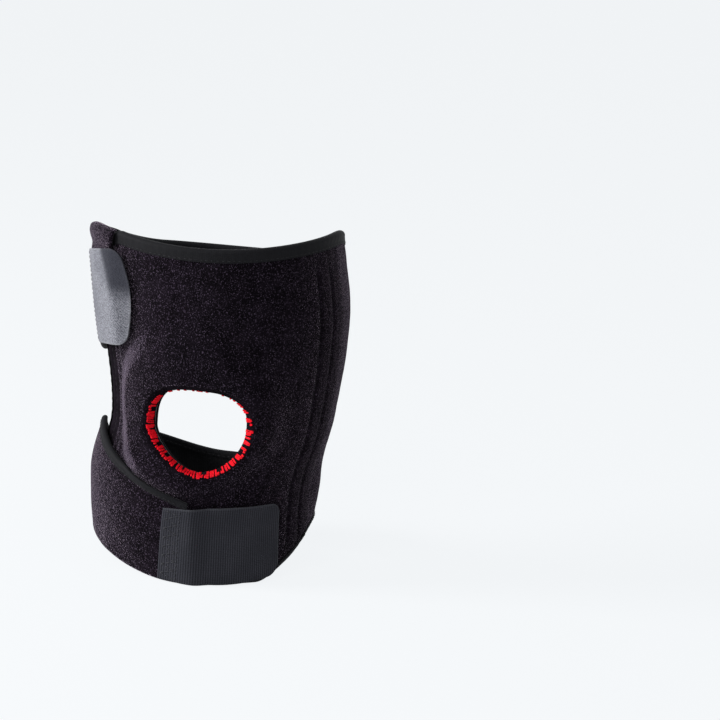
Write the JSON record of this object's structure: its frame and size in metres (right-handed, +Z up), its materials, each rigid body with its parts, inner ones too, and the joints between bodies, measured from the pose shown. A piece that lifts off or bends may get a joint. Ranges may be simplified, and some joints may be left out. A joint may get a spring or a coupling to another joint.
{
  "type": "knee brace",
  "caption": "Wrap-around open-kneecap knee brace of foam laminate with spring stays at each side, and two strap wings that close over the front with hook tabs.",
  "frame": {"origin": "on the leg's axis at the height of the lower edge", "axes": "+Z up the leg towards the thigh, -Y forwards on the kneecap's side, -X towards the side where the wings fasten"},
  "size_m": [0.1454, 0.1317, 0.1898],
  "materials": {
    "plush": "fuzzy loop pile on foam laminate",
    "edge_tape": "smooth woven tape",
    "foam": "soft foam",
    "lining": "smooth knit lining",
    "thread": "overlocked thread",
    "stay": "bright wire",
    "tip": "moulded",
    "thigh_webbing": "twill webbing",
    "calf_webbing": "ribbed webbing",
    "hook": "hook tape"
  },
  "bodies": {
    "thigh_cuff": {"thigh_panel": "plush", "thigh_top_tape": "edge_tape", "thigh_notch_tape": "edge_tape", "thigh_edge_tape": "edge_tape", "thigh_stay_pockets": "lining", "stay_upper_tips": "tip", "inner_front_stay": "stay", "inner_rear_stay": "stay", "outer_front_stay": "stay", "outer_rear_stay": "stay", "kneecap_ring_pad": "foam", "kneecap_patch": "lining", "kneecap_overlock": "thread"},
    "calf_cuff": {"calf_panel": "plush", "calf_hem_tape": "edge_tape", "calf_notch_tape": "edge_tape", "calf_edge_tape": "edge_tape", "calf_stay_pockets": "lining", "stay_lower_tips": "tip"},
    "thigh_strap": {"thigh_wing": "plush", "thigh_wing_tape": "edge_tape"},
    "thigh_tab": {"thigh_tab_backing": "thigh_webbing", "thigh_tab_hooks": "hook"},
    "calf_strap": {"calf_wing": "plush", "calf_wing_tape": "edge_tape"},
    "calf_tab": {"calf_tab_backing": "calf_webbing", "calf_tab_hooks": "hook"}
  },
  "joints": [
    {"name": "knee_flex", "type": "hinge", "parent": "thigh_cuff", "child": "calf_cuff", "pos_m": [0, 0.01, 0.084], "axis": [1, 0, 0], "range_deg": [0, 60], "stiffness_Nm_per_rad": 0.6, "deforming": ["inner_front_stay", "inner_rear_stay", "outer_front_stay", "outer_rear_stay", "kneecap_ring_pad", "kneecap_patch", "kneecap_overlock"]},
    {"name": "thigh_wing_open", "type": "hinge", "parent": "thigh_cuff", "child": "thigh_strap", "pos_m": [-0.05595, 0.02661, 0.1125], "axis": [0.1463, -0.0235, -0.989], "range_deg": [0, 90]},
    {"name": "thigh_tab_peel", "type": "hinge", "parent": "thigh_strap", "child": "thigh_tab", "pos_m": [-0.06858, -0.00484, 0.1169], "axis": [0.1503, 0.0038, -0.9886], "range_deg": [0, 110]},
    {"name": "calf_wing_open", "type": "hinge", "parent": "calf_cuff", "child": "calf_strap", "pos_m": [-0.05778, 0.02519, 0], "axis": [0.0048, -0.0161, -0.9999], "range_deg": [0, 90]},
    {"name": "calf_tab_peel", "type": "hinge", "parent": "calf_strap", "child": "calf_tab", "pos_m": [-0.01829, -0.06027, 0], "axis": [-0.0463, 0.0755, -0.9961], "range_deg": [0, 110]}
  ]
}
